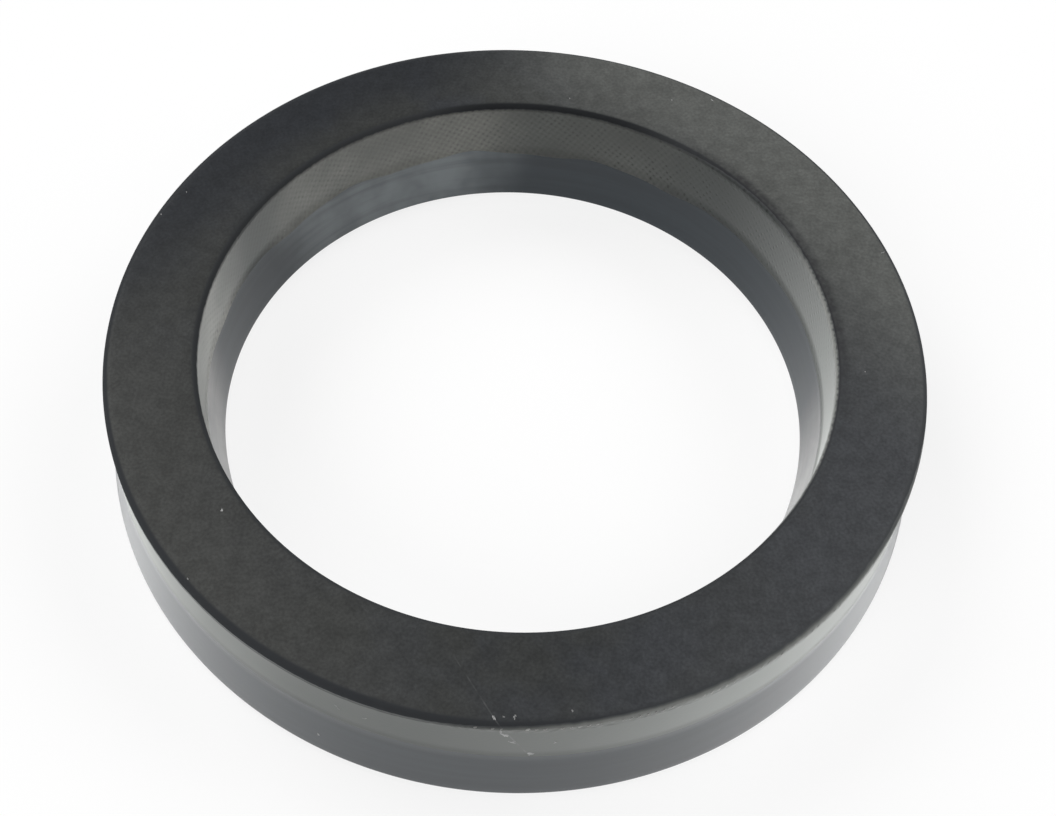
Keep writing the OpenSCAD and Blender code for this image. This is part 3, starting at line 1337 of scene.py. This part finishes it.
@dataclass
class EdgeThreads:
    """The crowns of the fabric's threads, a little proud where they wrap over the heel's outer edge."""

    section: Section
    finish: Speckled = BARE_THREAD
    worn_side: Place = towards(-66)
    worn_reach: float = math.radians(27)
    pitch: float = 0.60 * MM
    bias: float = math.radians(32)
    tilt: float = math.radians(14)
    length: float = 0.30 * MM
    width: float = 0.17 * MM
    rise: float = 0.030 * MM
    sizes: Span = (0.65, 1.2)
    kept: float = 0.75
    seed: int = 11
    path_points: int = 256
    crown_segments: int = 8
    crown_rings: int = 4

    def ring(self) -> Point:
        """Finds the line that the crowns stand on.

        Returns:
            Its radius and height.
        """
        s = self.section
        radius = s.heel_outer_r - s.heel_outer_edge_r * (1 - math.cos(self.tilt))
        return radius, s.height - s.heel_outer_edge_r * (1 - math.sin(self.tilt))

    def row(self) -> bpy.types.NodeTree:
        """Writes the tree that sets the crowns along the edge.

        Returns:
            The geometry node tree, whose inputs are its sizes and finish.
        """
        sizes = ("Radius", "Height", "Tilt", "Bias", "Length", "Width", "Rise", "Kept", "Worn Reach")
        kinds = dict.fromkeys(sizes, "Float") | dict.fromkeys(("Count", "Seed"), "Int")
        kinds |= {"Worn Side": "Vector", "Finish": "Material"}
        graph, given = new_tree("crowns_along_edge", kinds, "Crowns")
        path = {"Resolution": self.path_points, "Radius": given["Radius"]}
        circle = graph.out("GeometryNodeCurvePrimitiveCircle", path)
        spots = graph.add("GeometryNodeCurveToPoints", {0: circle, "Count": given["Count"]}, mode="COUNT")
        out = graph.vector("NORMALIZE", graph.out("GeometryNodeInputPosition"))
        sideways = graph.scaled(out, graph.math("COSINE", given["Tilt"]))
        normal = graph.vector("ADD", sideways, graph.combined(0.0, 0.0, graph.math("SINE", given["Tilt"])))
        upright = graph.turned(normal, graph.vector("CROSS_PRODUCT", normal, out))
        lean = graph.combined(0.0, 0.0, given["Bias"])
        slanted = graph.out("FunctionNodeRotateRotation", {0: upright, 1: lean}, rotation_space="LOCAL")
        chance = {"Probability": given["Kept"], "Seed": given["Seed"]}
        kept = graph.add("FunctionNodeRandomValue", chance, data_type="BOOLEAN").outputs[3]
        facing = graph.dot(out, given["Worn Side"])
        is_near = graph.math("GREATER_THAN", facing, graph.math("COSINE", given["Worn Reach"]))
        is_bare = graph.out("FunctionNodeBooleanMath", {0: kept, 1: is_near}, operation="AND")
        chance = {2: self.sizes[0], 3: self.sizes[1], "Seed": graph.math("ADD", given["Seed"], 1.0)}
        size = graph.add("FunctionNodeRandomValue", chance, data_type="FLOAT").outputs[1]
        halves = [graph.product(given[name], 0.5) for name in ("Length", "Width")]
        scale = graph.combined(*(graph.product(value, size) for value in (*halves, given["Rise"])))
        ball = {"Segments": self.crown_segments, "Rings": self.crown_rings, "Radius": 1.0}
        crowns = {
            "Points": spots.outputs["Points"],
            "Selection": is_bare,
            "Instance": graph.out("GeometryNodeMeshUVSphere", ball),
            "Rotation": slanted,
            "Scale": scale,
        }
        row = graph.out("GeometryNodeInstanceOnPoints", crowns)
        lift = graph.combined(0.0, 0.0, given["Height"])
        row = graph.out("GeometryNodeTransform", {"Geometry": row, "Translation": lift})
        for kind in ("GeometryNodeRealizeInstances", "GeometryNodeSetShadeSmooth"):
            row = graph.out(kind, {0: row})
        row = graph.out("GeometryNodeSetMaterial", {"Geometry": row, "Material": given["Finish"]})
        graph.add("NodeGroupOutput", {"Crowns": row})
        return graph.tree

    def build(self) -> bpy.types.Object:
        """Makes the row of crowns as a plain mesh.

        Returns:
            The row.
        """
        radius, height = self.ring()
        values = {
            "Radius": radius,
            "Height": height,
            "Tilt": self.tilt,
            "Bias": self.bias,
            "Length": self.length,
            "Width": self.width,
            "Rise": self.rise,
            "Kept": self.kept,
            "Worn Side": self.worn_side,
            "Worn Reach": self.worn_reach,
            "Count": round(TURN * radius / self.pitch),
            "Seed": self.seed,
            "Finish": self.finish.material(),
        }
        return settle(new_piece("outer_edge_threads"), self.row(), values)


class Surface(Enum):
    """Where on the seal a fleck lies."""

    FACE = "heel face"
    OUTER = "outer wall"
    BORE = "bore wall"


@dataclass(frozen=True)
class Fleck:
    """One speck of lint or torn nick, in degrees and millimetres.

    The reach is a radius on the face and a height on a wall.
    """

    surface: Surface
    angle: float
    reach: float
    length: float
    width: float
    slant: float = 0.0


@dataclass
class Flecks:
    """The few pale specks and nicks that the seal shows, most of them along the scratch."""

    section: Section
    finish: Speckled = PALE_LINT
    thickness: float = 0.05 * MM
    slivers: int = 4
    stray_along: float = 0.35
    stray_aside: float = 0.4
    sliver_sizes: Span = (0.35, 0.8)
    sliver_slant: float = 25.0
    seed: int = 5
    nominal_r: float = 32.0
    marks: tuple[Fleck, ...] = (
        Fleck(Surface.FACE, -90.3, 31.75, 0.50, 0.12, 58),
        Fleck(Surface.OUTER, -88.9, 10.15, 1.05, 0.34, -74),
        Fleck(Surface.OUTER, -87.7, 8.65, 0.62, 0.40, -40),
        Fleck(Surface.OUTER, -85.4, 6.40, 0.55, 0.46, -35),
        Fleck(Surface.OUTER, -82.4, 8.45, 0.34, 0.30, 70),
        Fleck(Surface.OUTER, -110.1, 8.30, 0.52, 0.30, -65),
        Fleck(Surface.OUTER, -106.4, 8.10, 0.40, 0.28, 30),
        Fleck(Surface.OUTER, -69.3, 10.75, 0.18, 0.14, 0),
        Fleck(Surface.OUTER, -77.2, 10.90, 0.18, 0.12, 20),
        Fleck(Surface.OUTER, -113.0, 2.60, 0.30, 0.14, -50),
        Fleck(Surface.OUTER, -45.0, 6.20, 0.30, 0.12, -60),
        Fleck(Surface.FACE, -80.4, 31.40, 0.20, 0.12, 60),
        Fleck(Surface.FACE, -87.6, 31.70, 0.30, 0.16, 75),
        Fleck(Surface.FACE, -89.0, 31.70, 0.18, 0.10, 45),
        Fleck(Surface.FACE, -2.3, 27.40, 0.20, 0.10, 10),
        Fleck(Surface.FACE, -140.9, 26.90, 0.26, 0.18, 35),
        Fleck(Surface.FACE, 60.0, 31.50, 0.42, 0.10, 15),
        Fleck(Surface.FACE, -134.7, 31.90, 0.24, 0.10, 40),
        Fleck(Surface.FACE, 155.5, 31.20, 0.16, 0.10, 0),
        Fleck(Surface.FACE, 160.9, 31.80, 0.16, 0.12, 0),
        Fleck(Surface.FACE, 83.1, 26.60, 0.14, 0.12, 0),
        Fleck(Surface.FACE, 65.7, 29.60, 0.14, 0.10, 0),
        Fleck(Surface.FACE, 20.5, 31.70, 0.34, 0.09, 80),
        Fleck(Surface.BORE, 146.0, 5.80, 0.22, 0.12, 0),
    )

    def spot(self, mark: Fleck) -> tuple[Vector, Vector, Vector]:
        """Places one fleck.

        Args:
            mark: The fleck.

        Returns:
            Its place, the way that it faces and the way that it lies.
        """
        out = Vector(towards(mark.angle))
        around = Vector(towards(mark.angle + 90))
        up = Vector((0, 0, 1))
        reach = mark.reach * MM
        slant = math.radians(mark.slant)
        if mark.surface is Surface.FACE:
            place = out * reach + up * self.section.height
            return place, up, around * math.cos(slant) + out * math.sin(slant)
        radius = self.section.wall_r(reach, mark.surface is Surface.OUTER)
        facing = out if mark.surface is Surface.OUTER else -out
        return out * radius + up * reach, facing, around * math.cos(slant) + up * math.sin(slant)

    def torn(self) -> list[Fleck]:
        """Tears each fleck into a few slivers that lie roughly along it.

        Returns:
            The slivers.
        """
        chance = random.Random(self.seed)
        found = []
        for mark in self.marks:
            slant = math.radians(mark.slant)
            for _ in range(self.slivers):
                ahead = chance.uniform(-self.stray_along, self.stray_along) * mark.length
                aside = chance.uniform(-self.stray_aside, self.stray_aside) * mark.width
                round_way = ahead * math.cos(slant) - aside * math.sin(slant)
                up_way = ahead * math.sin(slant) + aside * math.cos(slant)
                sliver = replace(
                    mark,
                    angle=mark.angle + math.degrees(round_way / self.nominal_r),
                    reach=mark.reach + up_way,
                    length=mark.length * chance.uniform(*self.sliver_sizes),
                    width=mark.width * chance.uniform(*self.sliver_sizes),
                    slant=mark.slant + chance.uniform(-self.sliver_slant, self.sliver_slant),
                )
                found.append(sliver)
        return found

    def scatter(self) -> bpy.types.NodeTree:
        """Writes the tree that sets a flat chip on every spot.

        Returns:
            The geometry node tree.
        """
        graph, given = new_tree("chips_on_spots", {"Spots": "Geometry", "Finish": "Material"}, "Chips")
        facing, along, span = (graph.named(name, "FLOAT_VECTOR") for name in ("facing", "along", "span"))
        chips = {
            "Points": given["Spots"],
            "Instance": graph.out("GeometryNodeMeshIcoSphere", {"Radius": 1.0, "Subdivisions": 2}),
            "Rotation": graph.turned(facing, along),
            "Scale": span,
        }
        placed = graph.out("GeometryNodeInstanceOnPoints", chips)
        real = graph.out("GeometryNodeRealizeInstances", {0: placed})
        done = graph.out("GeometryNodeSetMaterial", {"Geometry": real, "Material": given["Finish"]})
        graph.add("NodeGroupOutput", {"Chips": done})
        return graph.tree

    def build(self) -> bpy.types.Object:
        """Makes the flecks as a plain mesh.

        Returns:
            The flecks.
        """
        made = new_piece("lint_flecks")
        slivers = self.torn()
        places, facings, ways = zip(*(self.spot(mark) for mark in slivers))
        made.data.from_pydata(places, [], [])
        spans = [(m.length / 2 * MM, m.width / 2 * MM, self.thickness / 2) for m in slivers]
        for name, rows in {"facing": facings, "along": ways, "span": spans}.items():
            values = [number for row in rows for number in row]
            made.data.attributes.new(name, "FLOAT_VECTOR", "POINT").data.foreach_set("vector", values)
        return settle(made, self.scatter(), {"Finish": self.finish.material()})


def new_object(name: str, data: bpy.types.ID) -> bpy.types.Object:
    """Puts a mesh, a lamp or a camera into the scene, at the origin.

    Args:
        name: The object's name.
        data: What the object shows.

    Returns:
        The object.
    """
    made = bpy.data.objects.new(name, data)
    bpy.context.scene.collection.objects.link(made)
    return made


def new_piece(name: str) -> bpy.types.Object:
    """Makes an object with an empty mesh."""
    return new_object(name, bpy.data.meshes.new(name))


def new_tree(name: str, inputs: Mapping[str, str], output: str) -> tuple[Graph, Any]:
    """Makes a geometry node tree with named inputs.

    Args:
        name: The tree's name.
        inputs: Input name to kind of socket.
        output: The name of the geometry that it gives.

    Returns:
        The tree's nodes, and its inputs as sockets by name.
    """
    tree = bpy.data.node_groups.new(name, "GeometryNodeTree")
    for given, kind in inputs.items():
        tree.interface.new_socket(given, in_out="INPUT", socket_type=f"NodeSocket{kind}")
    tree.interface.new_socket(output, in_out="OUTPUT", socket_type="NodeSocketGeometry")
    graph = Graph(tree)
    return graph, graph.add("NodeGroupInput").outputs


def settle(made: bpy.types.Object, tree: bpy.types.NodeTree, values: Mapping[str, Any]) -> bpy.types.Object:
    """Runs a geometry node tree on an object and keeps the result as its plain mesh.

    Args:
        made: The object that carries the tree's input mesh.
        tree: The tree.
        values: The tree's inputs by name.

    Returns:
        The same object, with the finished mesh and no modifier.
    """
    modifier = made.modifiers.new(tree.name, "NODES")
    modifier.node_group = tree
    for item in tree.interface.items_tree:
        if item.name in values:
            modifier[item.identifier] = values[item.name]
    graph = bpy.context.evaluated_depsgraph_get()
    finished = bpy.data.meshes.new_from_object(made.evaluated_get(graph), depsgraph=graph)
    made.modifiers.remove(modifier)
    made.data = finished
    return made


@dataclass(frozen=True)
class Lamp:
    """One large, far, soft lamp: its side and height in degrees, and its light in watts a square metre."""

    name: str
    azimuth: float
    elevation: float
    level: float
    spread: float = math.radians(35)

    def hang(self) -> None:
        """Hangs the lamp."""
        light = bpy.data.lights.new(self.name, "SUN")
        light.angle = self.spread
        light.energy = self.level
        turn, rise = math.radians(self.azimuth), math.radians(self.elevation)
        place = Vector((math.cos(turn) * math.cos(rise), math.sin(turn) * math.cos(rise), math.sin(rise)))
        aimed = place.to_track_quat("Z", "Y").to_matrix().to_4x4()
        new_object(self.name, light).matrix_world = Matrix.Translation(place) @ aimed


@dataclass
class Studio:
    """A pale table, soft lamps and the camera at the photograph's angle."""

    image_w: float = 1056.0
    focal_px: float = 1600.0
    sensor_w_mm: float = 36.0
    elevation: float = math.radians(57.04)
    distance: float = 135.9 * MM
    target: Place = (1.14 * MM, 1.05 * MM, 0.0)
    roll: float = math.radians(4.24)
    nearest_seen: float = 5.0 * MM
    table_w: float = 40.0
    table_gap: float = 0.02 * MM
    table_colour: Colour = (0.95, 0.95, 0.95)
    table_roughness: float = 0.9
    glow_share: float = 0.82
    room_light: float = 0.02
    lamps: tuple[Lamp, ...] = (
        Lamp("back_right_lamp", 35, 45, 1.15),
        Lamp("right_lamp", 0, 35, 0.55),
        Lamp("front_left_lamp", -130, 35, 1.65),
        Lamp("back_left_lamp", 140, 42, 1.75),
    )

    def camera(self) -> None:
        """Places the camera."""
        made = bpy.data.cameras.new("camera")
        made.sensor_width = self.sensor_w_mm
        made.lens = self.focal_px * self.sensor_w_mm / self.image_w
        made.clip_start = self.nearest_seen
        holder = new_object("camera", made)
        place = Vector((0, -math.cos(self.elevation), math.sin(self.elevation))) * self.distance
        ahead = (Vector(self.target) - place).normalized()
        upright = ahead.to_track_quat("-Z", "Y").to_matrix().to_4x4()
        holder.matrix_world = Matrix.Translation(place) @ upright @ Matrix.Rotation(self.roll, 4, "Z")
        bpy.context.scene.camera = holder

    def table(self) -> None:
        """Lays the pale table, white to the camera and in reflections, which keeps the seal's shadow."""
        made = new_piece("table")
        half, z = self.table_w / 2, -self.table_gap
        corners = [(-half, -half, z), (half, -half, z), (half, half, z), (-half, half, z)]
        made.data.from_pydata(corners, [], [(0, 1, 2, 3)])
        made.data.materials.append(self.table_finish())

    def table_finish(self) -> Material:
        """Makes the table's material.

        Returns:
            The material.
        """
        graph = ShaderGraph("pale_table")
        graph.feed(graph.shader, {"Specular IOR Level": 0.0})
        glow = graph.out("ShaderNodeEmission", {"Color": (*WHITE, 1.0), "Strength": 1.0})
        share = graph.product(self.seen(graph), self.glow_share)
        mixed = graph.out("ShaderNodeMixShader", {0: share, 1: graph.shader.outputs[0], 2: glow})
        graph.feed(graph.tree.nodes["Material Output"], {"Surface": mixed})
        return graph.finished((*self.table_colour, 1.0), self.table_roughness)

    @staticmethod
    def seen(graph: Graph) -> Socket:
        """Makes the mask of the rays that show a background: straight looks, gloss and glass.

        Args:
            graph: The nodes of the table or of the room.

        Returns:
            The mask.
        """
        rays = graph.add("ShaderNodeLightPath").outputs
        straight = graph.math("MAXIMUM", rays["Is Camera Ray"], rays["Is Glossy Ray"])
        return graph.math("MAXIMUM", straight, rays["Is Transmission Ray"])

    def room(self) -> None:
        """Makes the room: white where it is seen, and faint as a light."""
        world = bpy.data.worlds.new("room")
        bpy.context.scene.world = world
        world.use_nodes = True
        graph = Graph(world.node_tree)
        faint, white = (
            graph.out("ShaderNodeBackground", {"Color": (*WHITE, 1.0), "Strength": strength})
            for strength in (self.room_light, 1.0)
        )
        mixed = graph.out("ShaderNodeMixShader", {0: self.seen(graph), 1: faint, 2: white})
        graph.feed(graph.tree.nodes["World Output"], {"Surface": mixed})

    def build(self) -> None:
        """Sets up the whole studio."""
        self.camera()
        self.table()
        self.room()
        for lamp in self.lamps:
            lamp.hang()
        bpy.context.scene.view_settings.view_transform = "Standard"


def measured_section() -> Section:
    """Reads the section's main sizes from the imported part.

    Returns:
        The section, with its other sizes as modelled.
    """
    mounts = {m["name"]: m for m in frame["record"]["mounts"]}
    seat, bore = mounts["housing_seat"], mounts["rod_bore"]
    return Section(
        heel_outer_r=seat["dims"]["r_mm"] * MM,
        heel_inner_r=bore["dims"]["r_mm"] * MM,
        height=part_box("rod_seal")[1][2],
        lip_top_z=bore["pos_m"][2] - bore["dims"]["length_mm"] / 2 * MM,
    )


def main() -> None:
    """Builds the studio and the seal, and reports each piece."""
    logging.basicConfig(level=logging.INFO, format="%(name)s: %(message)s")
    Studio().build()
    section = measured_section()
    ring = SealRing(section).build()
    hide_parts("rod_seal")
    pieces = [ring, EdgeThreads(section).build(), Flecks(section).build()]
    for piece in pieces:
        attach(piece, "root")
        LOG.info("%s: %d faces", piece.name, len(piece.data.polygons))


if __name__ == "__main__":
    main()
